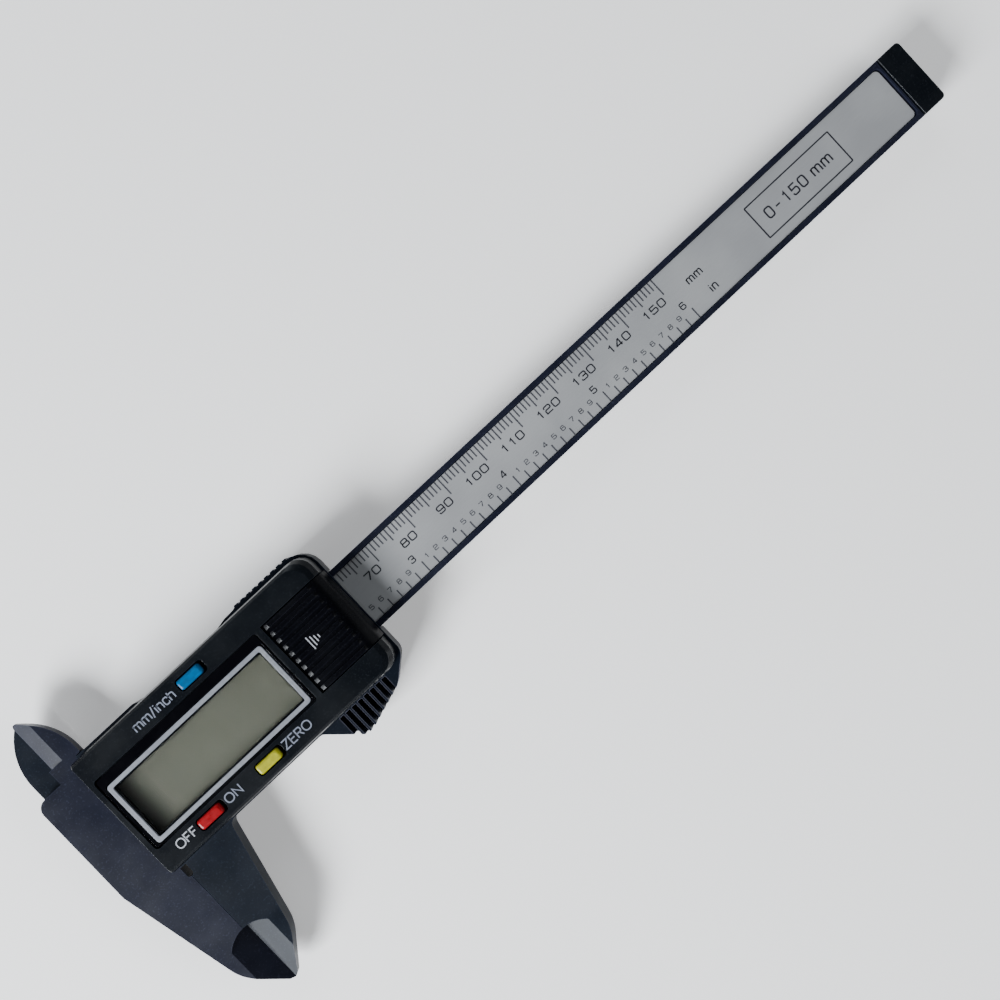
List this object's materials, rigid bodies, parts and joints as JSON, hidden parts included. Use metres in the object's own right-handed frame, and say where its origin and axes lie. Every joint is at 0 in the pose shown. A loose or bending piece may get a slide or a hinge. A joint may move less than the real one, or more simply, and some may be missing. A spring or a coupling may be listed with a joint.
{
  "type": "digital caliper",
  "caption": "Plastic digital caliper lying on its back: beam with scale and fixed jaws, sliding display unit with moving jaws, keys, battery cover and depth rod.",
  "frame": {"origin": "middle of the closed caliper's bounding box, at the back of the slider on which it rests", "axes": "+X along the beam from the jaws to its far end, +Y from the outside jaws to the inside jaws, +Z out of the display"},
  "size_m": [0.2348, 0.076, 0.0139],
  "materials": {
    "beam_plastic": "satin moulded plastic with a fine grain",
    "slate_plastic": "satin moulded plastic with a fine grain",
    "cover_plastic": "satin moulded plastic",
    "gloss_black": "glossy printed mask",
    "silver_print": "silver print, slightly metallic",
    "clear_acrylic": "clear and glossy",
    "lcd_glass": "grey-olive liquid crystal panel",
    "circuit_board": "green solder mask",
    "scale_print": "satin light grey label",
    "bright_steel": "bright",
    "spring_steel": "bright spring strip",
    "dark_rubber": "matt",
    "blue_key": "satin",
    "red_key": "satin",
    "yellow_key": "satin"
  },
  "bodies": {
    "beam": {"beam": "beam_plastic", "scale_board": "circuit_board", "scale_label": "scale_print", "end_stop": "cover_plastic", "end_stop_screw_1": "bright_steel", "end_stop_screw_2": "bright_steel"},
    "slider": {"slider_frame": "slate_plastic", "back_plate": "cover_plastic", "back_screw_1": "bright_steel", "back_screw_2": "bright_steel", "back_screw_3": "bright_steel", "back_screw_4": "bright_steel", "gib_spring": "spring_steel", "front_cover": "cover_plastic", "display_bezel": "gloss_black", "display_trim": "silver_print", "display_lens": "clear_acrylic", "lcd_panel": "lcd_glass", "lcd_connector_top": "dark_rubber", "lcd_connector_bottom": "dark_rubber", "main_board": "circuit_board", "controller_chip": "dark_rubber", "battery_cell": "bright_steel", "positive_contact": "spring_steel", "negative_contact": "spring_steel", "units_switch": "spring_steel", "power_switch": "spring_steel", "zero_switch": "spring_steel", "depth_rod": "bright_steel"},
    "battery_cover": {"battery_cover": "cover_plastic"},
    "units_button": {"units_button": "blue_key"},
    "power_button": {"power_button": "red_key"},
    "zero_button": {"zero_button": "yellow_key"}
  },
  "joints": [
    {"name": "slider_slide", "type": "slide", "parent": "beam", "child": "slider", "axis": [1, 0, 0], "range_m": [0, 0.15]},
    {"name": "battery_cover_slide", "type": "slide", "parent": "slider", "child": "battery_cover", "axis": [1, 0, 0], "range_m": [0, 0.017]},
    {"name": "units_press", "type": "slide", "parent": "slider", "child": "units_button", "axis": [0, 0, -1], "range_m": [0, 0.0004], "stiffness_N_per_m": 600, "springref_m": -0.001},
    {"name": "power_press", "type": "slide", "parent": "slider", "child": "power_button", "axis": [0, 0, -1], "range_m": [0, 0.0004], "stiffness_N_per_m": 600, "springref_m": -0.001},
    {"name": "zero_press", "type": "slide", "parent": "slider", "child": "zero_button", "axis": [0, 0, -1], "range_m": [0, 0.0004], "stiffness_N_per_m": 600, "springref_m": -0.001}
  ]
}
